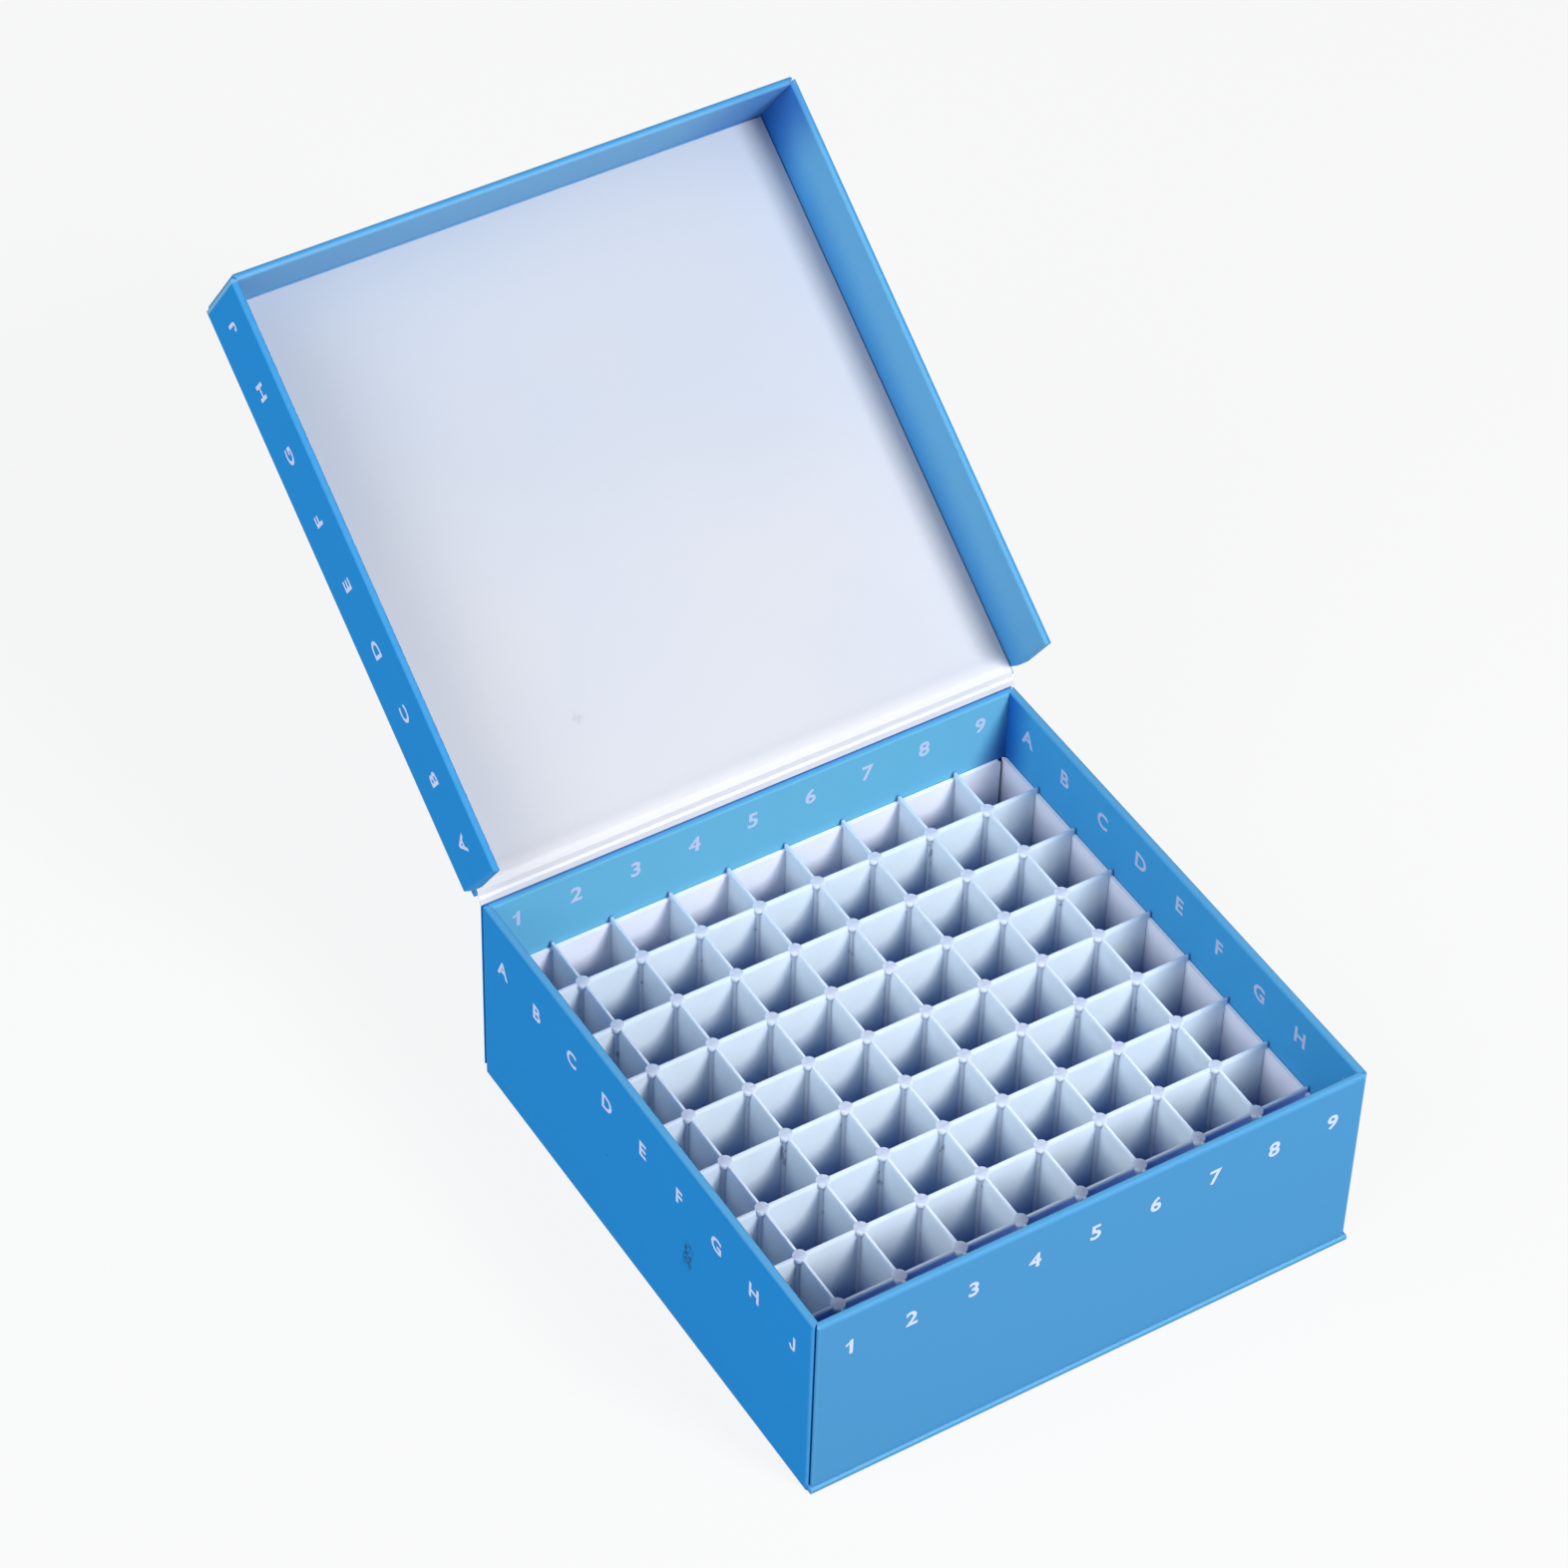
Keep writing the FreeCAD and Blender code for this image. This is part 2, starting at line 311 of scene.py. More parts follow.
@dataclass(frozen=True)
class CoveringPaper:
    """Blue covering paper, paler where it is folded over an edge, from wear and a painted highlight,
    with painted light and shade on some faces.
    """

    board: Board
    paper: Colour = srgb(11, 125, 195)
    faded: Colour = srgb(27, 134, 203)
    # Painted sheen on the front faces of the tray and of the shut lid.
    front: Colour = srgb(67, 133, 182)
    # Painted light on the tray's inner back wall.
    back: Colour = srgb(99, 172, 206)
    # Painted light on the tray's inner right wall.
    right: Colour = srgb(66, 158, 214)
    # Painted shade of the inner back right corner, of the back rim under the lining and of the lid's
    # inner corner.
    corner: Colour = srgb(4, 78, 176)
    # Painted shade seen through the slit in the liner.
    split_shade: Colour = srgb(8, 14, 40)
    # Painted light on the lid's inner right wall.
    lid_side: Colour = srgb(101, 169, 212)
    # Painted light on the lid's inner front wall.
    lid_end_light: Colour = srgb(112, 166, 208)
    # Painted shade on the lid's inner right wall towards the panel.
    lid_panel_shade: Colour = srgb(26, 124, 204)
    # Paler edges, partly wear and partly a painted highlight.
    fold: Colour = srgb(84, 148, 192)
    # Painted highlight on the rim's top and on the upper face of the front foot's proud edge.
    rim_and_ledge_highlight: Colour = srgb(108, 166, 200)
    dirt: Colour = srgb(16, 44, 78)
    corner_wear_and_highlight: Pair = (0.7 * MM, 1.7 * MM)
    # Shape of the painted shade in the inner back right corner.
    wedge_slope: float = 0.5
    wedge_reach: Pair = (-9 * MM, 1.5 * MM)
    # Place of the painted shade behind the slit in the liner.
    split_x: float = 60.0 * MM
    split_top: Pair = (30.4 * MM, 30.9 * MM)
    # Reach of the painted shade in the lid's inner corner.
    lid_corner_shade_reach: Pair = (2 * MM, 17 * MM)
    smudge_y: float = -18.2 * MM
    smudge_z: float = 24.2 * MM
    smudge_lean: float = 0.14
    dot_y: float = 13.05 * MM
    dot_z: float = 23.1 * MM

    def _tray_edges(self, x: Field, y: Field, z: Field) -> Field:
        """Mask of the tray's upright corners, rim and foot."""
        from_side = SIZES.half_width - abs(x)
        from_end = SIZES.half_depth - abs(y)
        corner = 1 - from_side.larger(from_end).ramp(*self.corner_wear_and_highlight)
        rim = (1 - (SIZES.tray_height - z).ramp(0.15 * MM, 0.75 * MM)) * 0.75
        foot = 1 - z.ramp(0.3 * MM, 1.1 * MM)
        return corner.larger(rim).larger(foot * 0.8)

    def _lid_edges(self, x: Field, y: Field, z: Field) -> Field:
        """Mask of the lid's corners, mouth, top folds and hinge edge."""
        from_side = SIZES.lid_half_width - abs(x)
        from_front = y - SIZES.lid_front
        from_back = SIZES.lid_back - y
        from_top = SIZES.closed_height - z
        from_mouth = z - (SIZES.closed_height - SIZES.lid_depth)
        corner = 1 - from_side.larger(from_front).ramp(*self.corner_wear_and_highlight)
        rim = 1 - from_mouth.ramp(0.1 * MM, 0.6 * MM)
        fold = 1 - from_side.smaller(from_front).larger(from_top).ramp(0.5 * MM, 1.3 * MM)
        back = 1 - from_back.ramp(1.2 * MM, 2.2 * MM)
        return corner.larger(rim).larger(fold).larger(back * 0.7)

    def _tray_tones(self, x: Field, y: Field, z: Field) -> list[tuple[Field, Colour]]:
        """Painted light and shade of the tray: sheen on the front, light on the inner back and right
        walls, shade in the back right corner, behind the slit in the liner and under the lining by the
        hinge, and highlights on the rim's top and the foot's proud edge.
        """
        inner = SIZES.half_width - SIZES.tray_board
        behind_wall = y - inner
        above = z.ramp(SIZES.liner_top - 0.6 * MM, SIZES.liner_top)
        within = 1 - (abs(y).larger(abs(x)) - inner).ramp(0.1 * MM, 0.4 * MM)
        # Painted sheen on the front face.
        front = 1 - (y + SIZES.half_depth).ramp(0.1 * MM, 0.6 * MM)
        # Painted light on the inner back wall.
        back = behind_wall.ramp(-0.15 * MM, -0.05 * MM) * within * above
        # Painted light on the inner right wall.
        right = (x - inner).ramp(-0.15 * MM, -0.05 * MM) * within * above
        # Painted shade in the inner back right corner, widening downwards, and along the right wall
        # near the back.
        reach = inner - x - (SIZES.tray_height - z) * self.wedge_slope
        corner_shadow = 1 - reach.ramp(*self.wedge_reach)
        near = (corner_shadow * back).larger(behind_wall.ramp(-10 * MM, 0.0) * right)
        # Painted shade on the back wall behind the slit in the liner.
        skin = behind_wall.ramp(-0.2 * MM, -0.1 * MM) * (1 - behind_wall.ramp(0.2 * MM, 0.4 * MM))
        beside = (x - self.split_x).ramp(-0.6 * MM, 0.0)
        split_shade_mask = beside * (1 - z.ramp(*self.split_top)) * skin
        rim_back = behind_wall.ramp(0.75 * MM, 1.15 * MM) * (1 - behind_wall.ramp(1.7 * MM, 2.0 * MM))
        shade = rim_back * (z - SIZES.tray_height).ramp(-1.0 * MM, -0.7 * MM)
        # Painted highlight on the upper face of the proud edge at the front foot.
        proud = 1 - (y + SIZES.half_depth).ramp(-0.12 * MM, -0.04 * MM)
        ledge_highlight_mask = z.ramp(0.95 * MM, 1.25 * MM) * proud
        # Painted highlight along the rim's top.
        top = (z - SIZES.tray_height).ramp(-0.35 * MM, -0.05 * MM)
        return [(front, self.front), (back, self.back), (right, self.right),
                (near * 0.75, self.corner), (split_shade_mask, self.split_shade), (top * 0.5, self.rim_and_ledge_highlight),
                (shade * 0.8, self.corner), (ledge_highlight_mask * 0.65, self.rim_and_ledge_highlight)]

    def _lid_tones(self, x: Field, y: Field, z: Field) -> list[tuple[Field, Colour]]:
        """Painted light and shade of the lid: sheen on its outer front, light on the inner faces of its
        walls, shade towards the panel and in the corner where they meet.
        """
        inside = SIZES.lid_half_width - SIZES.lid_wall
        from_front = y - SIZES.lid_front
        from_end = from_front - SIZES.lid_wall
        from_side = inside - x
        # Painted light on the inner faces of the lid's right and front walls.
        inner_face = x.ramp(inside - 0.3 * MM, inside - 0.1 * MM)
        right = inner_face * (1 - x.ramp(inside + 0.6 * MM, inside + 1.0 * MM))
        end = (1 - from_front.ramp(1.65 * MM, 1.9 * MM)) * from_front.ramp(0.6 * MM, 1.2 * MM)
        # Painted shade towards the panel.
        toward_panel_shade = (z - SIZES.closed_height).ramp(-15 * MM, -2 * MM) * right
        # Painted shade in the corner where the lid's walls meet.
        folded = 1 - (from_end + from_side * 0.6).ramp(*self.lid_corner_shade_reach)
        lid_corner_shade = right.larger(end * 0.6) * folded
        # Painted sheen on the lid's outer front, as on the tray's front.
        outer = 1 - from_front.ramp(0.1 * MM, 0.6 * MM)
        return [(outer, self.front), (right, self.lid_side), (end, self.lid_end_light),
                (toward_panel_shade * 0.55, self.lid_panel_shade), (lid_corner_shade * 0.7, self.corner)]

    def stain(self, graph: Graph, place: bpy.types.NodeSocket) -> Field:
        """Mask of the speckled smudge and the dot on the tray's left face."""
        x, y, z = graph.axes(place)
        outside = 1 - (x + SIZES.half_width).ramp(0.1 * MM, 0.4 * MM)
        above = z - self.smudge_z
        across = abs(y - self.smudge_y + above * self.smudge_lean).ramp(0.9 * MM, 2.1 * MM)
        along = abs(above).ramp(2.6 * MM, 4.4 * MM)
        speckle = graph.noise(place, 0.7 * MM, 4.0, 0.75).ramp(0.47, 0.56)
        smudge = (1 - across) * (1 - along) * speckle
        from_dot = abs(y - self.dot_y) + abs(z - self.dot_z)
        dot = 1 - from_dot.ramp(0.15 * MM, 0.4 * MM)
        return (smudge * 0.95).larger(dot * 0.95) * outside

    def material(self) -> bpy.types.Material:
        """Builds the finish."""
        graph = Graph(f"{self.board.value}_covering_paper")
        place = graph.place()
        shut = graph.shut_place() if self.board is Board.LID else place
        clouds = graph.noise(place, 26 * MM, 3.0, 0.55)
        fibres = graph.noise(place, 0.55 * MM, 3.0, 0.6)
        colour = graph.blend(self.paper, self.faded, clouds * 0.5 + fibres * 0.2)
        roughness = 0.46 + clouds * 0.10 + fibres * 0.06
        if self.board is not Board.HINGE:
            axes = graph.axes(shut)
            on_tray = self.board is Board.TRAY
            edge = self._tray_edges(*axes) if on_tray else self._lid_edges(*axes)
            # Painted light and shade on single faces.
            for mask, tone in self._tray_tones(*axes) if on_tray else self._lid_tones(*axes):
                colour = graph.blend(colour, tone, mask)
            # Edges paler, partly from wear and partly as a painted highlight.
            wear_and_highlight = edge * (0.25 + graph.noise(place, 1.6 * MM, 3.0, 0.65) * 0.5)
            colour = graph.blend(colour, self.fold, wear_and_highlight)
            roughness = roughness - edge * 0.08
        if self.board is Board.TRAY:
            colour = graph.blend(colour, self.dirt, self.stain(graph, place))
        return graph.finish(
            Base_Color=colour,
            Roughness=roughness,
            Specular_IOR_Level=0.02,
            Normal=graph.bump(fibres + clouds * 2.0, 0.05 * MM, 0.35),
        )


@dataclass(frozen=True)
class WhiteCard:
    """Matt white card of the liner, with a faint grain and painted shade that turns blue towards its
    foot.
    """

    card: Colour = srgb(236, 238, 250)
    grey: Colour = srgb(220, 226, 244)
    # Painted shade, bluish, towards the foot of the card.
    foot: Colour = srgb(104, 156, 246)
    edge: Colour = srgb(240, 244, 252)

    def material(self) -> bpy.types.Material:
        """Builds the finish."""
        graph = Graph("liner_card")
        place = graph.place()
        clouds = graph.noise(place, 14 * MM, 3.0, 0.5)
        grain = graph.noise(place, 0.4 * MM, 3.0, 0.6)
        z = graph.axes(place)[2]
        top = z.ramp(SIZES.liner_top - 0.5 * MM, SIZES.liner_top)
        depth_shade = (SIZES.liner_top - z).ramp(7 * MM, 27 * MM)
        colour = graph.blend(self.card, self.grey, clouds * 0.5 + grain * 0.2)
        # Painted shade, darker and bluer towards the foot.
        colour = graph.blend(colour, self.foot, depth_shade * 0.9)
        colour = graph.blend(colour, self.edge, top * 0.8)
        return graph.finish(Base_Color=colour, Roughness=0.55 + grain * 0.1,
                            Normal=graph.bump(grain, 0.03 * MM, 0.3))


@dataclass(frozen=True)
class LiningPaper:
    """Smooth white paper on the lid's inside, with faint clouds, specks, a smudge and painted light on
    its bend by the hinge.
    """

    paper: Colour = srgb(188, 189, 196)
    cool: Colour = srgb(174, 182, 196)
    mark: Colour = srgb(132, 134, 154)
    # Painted light that lifts the shade of the bend by the hinge.
    folds: Colour = srgb(206, 206, 212)
    far_fade: Pair = (-62 * MM, 50 * MM)
    fold_light_fade: Pair = (59 * MM, 62 * MM)
    crumple_fade: Pair = (57 * MM, 62 * MM)
    smudge_x: float = -29.4 * MM
    smudge_y: float = 38.7 * MM

    def material(self) -> bpy.types.Material:
        """Builds the finish."""
        graph = Graph("lining_paper")
        place = graph.place()
        shut = graph.shut_place()
        x, y, _ = graph.axes(shut)
        clouds = graph.noise(place, 55 * MM, 2.0, 0.45)
        grain = graph.noise(place, 0.5 * MM, 3.0, 0.6)
        far = 1 - y.ramp(*self.far_fade)
        colour = graph.blend(self.paper, self.cool, far * 0.75 + clouds.ramp(0.35, 0.7) * 0.3)
        away = abs(x - self.smudge_x) + abs(y - self.smudge_y)
        patches = graph.noise(place, 1.2 * MM, 3.0, 0.6).ramp(0.3, 0.6)
        smudge = (1 - away.ramp(0.4 * MM, 1.9 * MM)) * patches
        specks = graph.noise(place, 5.5 * MM, 1.0, 0.3).ramp(0.80, 0.83)
        # Painted light that lifts the shade of the bend by the hinge.
        colour = graph.blend(colour, self.folds, y.ramp(*self.fold_light_fade) * 0.8)
        colour = graph.blend(colour, self.mark, smudge * 0.5 + specks * 0.3)
        creased = graph.noise(place, 1.4 * MM, 3.0, 0.6, (0.22, 1.0, 1.0))
        crumple = creased * y.ramp(*self.crumple_fade)
        return graph.finish(Base_Color=colour, Roughness=0.42 + grain * 0.12,
                            Normal=graph.bump(grain + clouds * 3.0 + crumple * 5.0, 0.04 * MM, 0.3))


@dataclass(frozen=True)
class Moulding:
    """White, slightly translucent moulded plastic, with painted shade that turns bluer towards its foot
    and on the front row, and a painted blue reflection on the lug ends.
    """

    top: Colour = srgb(226, 240, 253)
    # Painted shade, bluish, towards the foot.
    foot: Colour = srgb(104, 160, 250)
    post: Colour = srgb(196, 208, 236)
    shaded: Colour = srgb(96, 150, 255)
    # Painted blue reflection and shade of the tray's wall on the lug ends.
    lug_end_reflection: Colour = srgb(20, 96, 190)
    mark: Colour = srgb(52, 62, 96)
    reflected_lug_ends: Pair = (61.1 * MM, 61.7 * MM)
    front_wall: Pair = (-49.15 * MM, -48.95 * MM)
    front_face: Pair = (-49.6 * MM, -49.3 * MM)
    stem_edge: Pair = (1.2 * MM, 1.58 * MM)
    marks_above: float = 23 * MM

    def from_post(self, graph: Graph, x: Field, y: Field) -> Field:
        """Distance to the axis of the nearest post."""
        across = [graph.maths("PINGPONG", along * (1 / SIZES.pitch) + 0.5, 0.5) * SIZES.pitch
                  for along in (x, y)]
        return graph.maths("SQRT", across[0] * across[0] + across[1] * across[1])

    def material(self) -> bpy.types.Material:
        """Builds the finish."""
        graph = Graph("white_moulding")
        place = graph.place()
        x, y, z = graph.axes(place)
        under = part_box("divider")[1][2] - z
        depth_shade = under.ramp(6 * MM, 29 * MM)
        reflected_lug_ends = abs(x).larger(abs(y)).ramp(*self.reflected_lug_ends)
        flow = graph.noise(place, 7 * MM, 2.0, 0.5, (1.0, 1.0, 0.25))
        grain = graph.noise(place, 0.35 * MM, 3.0, 0.6)
        # Painted shade, darker and bluer towards the foot.
        colour = graph.blend(self.top, self.foot, depth_shade * (0.85 + flow * 0.2))
        front_row = 1 - y.ramp(*self.front_wall)
        facing = front_row * y.ramp(*self.front_face)
        shade = (front_row * 0.22).larger(facing * 0.7) * under.ramp(0.3 * MM, 0.9 * MM)
        colour = graph.blend(colour, self.shaded, shade)
        lip = 1 - under.ramp(0.1 * MM, 0.3 * MM)
        colour = graph.blend(colour, self.post, lip * 0.55)
        stem = 1 - self.from_post(graph, x, y).ramp(*self.stem_edge)
        head = 1 - under.ramp(1.6 * MM, 2.2 * MM)
        colour = graph.blend(colour, self.post, stem * (0.35 + head * 0.45))
        below = under.ramp(2.2 * MM, 2.8 * MM) * (z - self.marks_above).ramp(0.0, 2 * MM)
        ticks = graph.noise(place, 5 * MM, 3.0, 0.75, (1.0, 1.0, 0.6)).ramp(0.59, 0.66)
        colour = graph.blend(colour, self.mark, ticks * stem * below * 0.5)
        # Painted blue reflection and shade on the lug ends.
        colour = graph.blend(colour, self.lug_end_reflection, reflected_lug_ends * 0.8)
        return graph.finish(Base_Color=colour, Roughness=0.34 + grain * 0.1,
                            Subsurface_Weight=0.25, Subsurface_Radius=(1.0, 1.1, 1.3),
                            Subsurface_Scale=1.2 * MM,
                            Normal=graph.bump(grain + flow, 0.03 * MM, 0.3))


@dataclass(frozen=True)
class PrintInk:
    """Pale ink of the grid numbers and letters."""

    ink: Colour = srgb(184, 196, 225)
    thin: Colour = srgb(152, 178, 220)

    def material(self) -> bpy.types.Material:
        """Builds the finish."""
        graph = Graph("print_ink")
        place = graph.place()
        patches = graph.noise(place, 0.6 * MM, 3.0, 0.6)
        colour = graph.blend(self.ink, self.thin, patches.ramp(0.55, 0.8) * 0.6)
        return graph.finish(Base_Color=colour, Roughness=0.42 + patches * 0.1,
                            Normal=graph.bump(patches, 0.02 * MM, 0.2))


def added(name: str, data: bpy.types.ID) -> bpy.types.Object:
    """New object of some data, linked to the scene."""
    made = bpy.data.objects.new(name, data)
    bpy.context.scene.collection.objects.link(made)
    return made


def closed_mesh(name: str, points: Sequence[Vector],
                faces: Iterable[Sequence[int]]) -> bpy.types.Object:
    """Object of a closed mesh whose faces are turned outwards.

    Args:
        name: Name of the object.
        points: Corners in metres.
        faces: Corner numbers of each face.

    Returns:
        The object, linked to the scene.
    """
    mesh = bpy.data.meshes.new(name)
    mesh.from_pydata([tuple(point) for point in points], [], [tuple(face) for face in faces])
    shape = bmesh.new()
    shape.from_mesh(mesh)
    bmesh.ops.remove_doubles(shape, verts=shape.verts, dist=SAME_PLACE)
    bmesh.ops.recalc_face_normals(shape, faces=shape.faces)
    shape.to_mesh(mesh)
    shape.free()
    return added(name, mesh)


def prism(name: str, near: Sequence[Vector], far: Sequence[Vector]) -> bpy.types.Object:
    """Closed solid between two outlines with as many corners each."""
    count = len(near)
    faces = [list(range(count)), list(range(2 * count - 1, count - 1, -1))]
    faces += [[i, (i + 1) % count, (i + 1) % count + count, i + count] for i in range(count)]
    return closed_mesh(name, [*near, *far], faces)


def smooth_by_angle(piece: bpy.types.Object, degrees: float) -> None:
    """Shades a mesh smooth, apart from edges sharper than an angle."""
    piece.data.shade_smooth()
    piece.data.set_sharp_from_angle(angle=math.radians(degrees))


def dress(piece: bpy.types.Object, material: bpy.types.Material) -> None:
    """Gives a piece one material on all its faces."""
    piece.data.materials.clear()
    piece.data.materials.append(material)


def joined(name: str, parts: Iterable[bpy.types.Mesh],
           finish: bpy.types.Material) -> bpy.types.Object:
    """One object of several meshes, with one material on all its faces."""
    shape = bmesh.new()
    for part in parts:
        shape.from_mesh(part)
    mesh = bpy.data.meshes.new(name)
    shape.to_mesh(mesh)
    shape.free()
    piece = added(name, mesh)
    dress(piece, finish)
    return piece


class Sockets(Enum):
    """Kinds of input that the layout trees take."""

    NUMBER = "NodeSocketFloat"
    COUNT = "NodeSocketInt"
    PIECE = "NodeSocketObject"
    FINISH = "NodeSocketMaterial"


class LayoutTree(NodeTree):
    """Geometry node tree that lays copies of a template out on a grid."""

    def __init__(self) -> None:
        super().__init__(bpy.data.node_groups.new("grid_layout", "GeometryNodeTree"))
        self.identifiers: dict[str, str] = {}
        face = self.tree.interface
        face.new_socket("Geometry", in_out="OUTPUT", socket_type="NodeSocketGeometry")
        for label, kind in (("Template", Sockets.PIECE), ("Columns", Sockets.COUNT),
                            ("Rows", Sockets.COUNT), ("Column Pitch", Sockets.NUMBER),
                            ("Row Pitch", Sockets.NUMBER), ("Turn", Sockets.NUMBER),
                            ("Finish", Sockets.FINISH)):
            made = face.new_socket(label, in_out="INPUT", socket_type=kind.value)
            self.identifiers[label] = made.identifier
        self._build()

    def _span(self, pitch: bpy.types.NodeSocket,
              count: bpy.types.NodeSocket) -> bpy.types.NodeSocket:
        """Length between the first and the last of count copies."""
        steps = self.node("ShaderNodeMath", {"operation": "SUBTRACT"}, {0: count, 1: 1.0})
        return self.node("ShaderNodeMath", {"operation": "MULTIPLY"},
                         {0: pitch, 1: steps.outputs[0]}).outputs[0]

    def _build(self) -> None:
        """Makes the nodes from the inputs to the output."""
        given = self.node("NodeGroupInput", {}, {}).outputs
        grid = self.node("GeometryNodeMeshGrid", {}, {
            "Size X": self._span(given["Column Pitch"], given["Columns"]),
            "Size Y": self._span(given["Row Pitch"], given["Rows"]),
            "Vertices X": given["Columns"], "Vertices Y": given["Rows"]})
        points = self.node("GeometryNodeMeshToPoints", {}, {"Mesh": grid.outputs["Mesh"]})
        template = self.node("GeometryNodeObjectInfo", {"transform_space": "ORIGINAL"},
                             {"Object": given["Template"]})
        turn = self.node("ShaderNodeCombineXYZ", {}, {"Z": given["Turn"]})
        copies = self.node("GeometryNodeInstanceOnPoints", {}, {
            "Points": points.outputs[0], "Instance": template.outputs["Geometry"],
            "Rotation": turn.outputs[0]})
        real = self.node("GeometryNodeRealizeInstances", {}, {"Geometry": copies.outputs[0]})
        finish = self.node("GeometryNodeSetMaterial", {}, {"Geometry": real.outputs[0],
                                                           "Material": given["Finish"]})
        self.node("NodeGroupOutput", {}, {"Geometry": finish.outputs[0]})

    def laid_out(self, name: str, **inputs: object) -> bpy.types.Mesh:
        """Plain mesh of a layout.

        Args:
            name: Name of the mesh.
            inputs: Values of the tree's inputs, by label with underscores.

        Returns:
            The mesh, with every copy made real.
        """
        carrier = added(name, bpy.data.meshes.new(name))
        modifier = carrier.modifiers.new("layout", "NODES")
        modifier.node_group = self.tree
        for label, value in inputs.items():
            modifier[self.identifiers[label.replace("_", " ")]] = value
        bpy.context.view_layer.update()
        seen = carrier.evaluated_get(bpy.context.evaluated_depsgraph_get())
        mesh = bpy.data.meshes.new_from_object(seen)
        carrier.modifiers.remove(modifier)
        bpy.data.objects.remove(carrier)
        return mesh


@dataclass
class Divider:
    """Moulded lattice: crossing walls with lugs, and a post at each crossing."""

    web: float = 0.6 * MM
    well_half: float = 60.8 * MM
    lug_half: float = 61.8 * MM
    head_radius: float = 1.5 * MM
    stem_radius: float = 0.97 * MM
    head_height: float = 0.9 * MM
    neck_height: float = 1.1 * MM
    edge: float = 0.12 * MM
    head_proud: float = 0.03 * MM
    sides: int = 24
    wall_crease: float = 40.0
    post_crease: float = 35.0
    low: float = field(default_factory=lambda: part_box("divider")[0][2])
    high: float = field(default_factory=lambda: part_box("divider")[1][2])

    def wall(self, name: str, lowered: float) -> bpy.types.Object:
        """One wall along X, with softened edges.

        Args:
            name: Name of the template.
            lowered: How far its top lies under the heads.

        Returns:
            The template object.
        """
        top = self.high - lowered
        seat = SIZES.liner_top
        outline = [(-self.well_half, self.low), (self.well_half, self.low), (self.well_half, seat),
                   (self.lug_half, seat), (self.lug_half, top), (-self.lug_half, top),
                   (-self.lug_half, seat), (-self.well_half, seat)]
        made = prism(name, *([Vector((x, side * self.web / 2, z)) for x, z in outline]
                             for side in (-1, 1)))
        shape = bmesh.new()
        shape.from_mesh(made.data)
        bmesh.ops.bevel(shape, geom=shape.edges, offset=self.edge, segments=2, profile=0.5,
                        affect="EDGES", clamp_overlap=True)
        shape.to_mesh(made.data)
        shape.free()
        smooth_by_angle(made, self.wall_crease)
        return made

    def post(self) -> bpy.types.Object:
        """Post template, turned about its own axis."""
        top = self.high
        neck_top = top - self.head_height
        neck_foot = neck_top - self.neck_height
        profile = [(self.stem_radius, self.low), (self.stem_radius, neck_foot - 0.3 * MM),
                   (self.stem_radius + 0.05 * MM, neck_foot),
                   (self.head_radius - 0.06 * MM, neck_top - 0.1 * MM),
                   (self.head_radius, neck_top + 0.05 * MM), (self.head_radius, top - self.edge),
                   (self.head_radius - self.edge * 0.3, top - self.edge * 0.3),
                   (self.head_radius - self.edge, top)]
        points = []
        for radius, height in profile:
            for side in range(self.sides):
                angle = 2 * math.pi * side / self.sides
                points.append(Vector((radius * math.cos(angle), radius * math.sin(angle), height)))
        rings = len(profile)
        faces = [[ring * self.sides + side, ring * self.sides + (side + 1) % self.sides,
                  (ring + 1) * self.sides + (side + 1) % self.sides, (ring + 1) * self.sides + side]
                 for ring in range(rings - 1) for side in range(self.sides)]
        faces += [list(range(self.sides)), list(range((rings - 1) * self.sides, rings * self.sides))]
        made = closed_mesh("post_template", points, faces)
        smooth_by_angle(made, self.post_crease)
        return made

    def build(self, finish: bpy.types.Material) -> bpy.types.Object:
        """Makes the lattice and puts it in the divider's place."""
        walls = SIZES.cells - 1
        row = self.wall("row_template", self.head_proud)
        column = self.wall("column_template", 2 * self.head_proud)
        post = self.post()
        tree = LayoutTree()
        parts = [
            tree.laid_out("rows", Template=row, Columns=1, Rows=walls, Column_Pitch=0.0,
                          Row_Pitch=SIZES.pitch, Turn=0.0, Finish=finish),
            tree.laid_out("columns", Template=column, Columns=walls, Rows=1, Column_Pitch=SIZES.pitch,
                          Row_Pitch=0.0, Turn=math.pi / 2, Finish=finish),
            tree.laid_out("posts", Template=post, Columns=walls, Rows=walls, Column_Pitch=SIZES.pitch,
                          Row_Pitch=SIZES.pitch, Turn=0.0, Finish=finish),
        ]
        piece = joined("divider_lattice", parts, finish)
        smooth_by_angle(piece, self.post_crease)
        for template in (row, column, post):
            bpy.data.objects.remove(template)
        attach(piece, BOX_BODY)
        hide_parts("divider")
        return piece


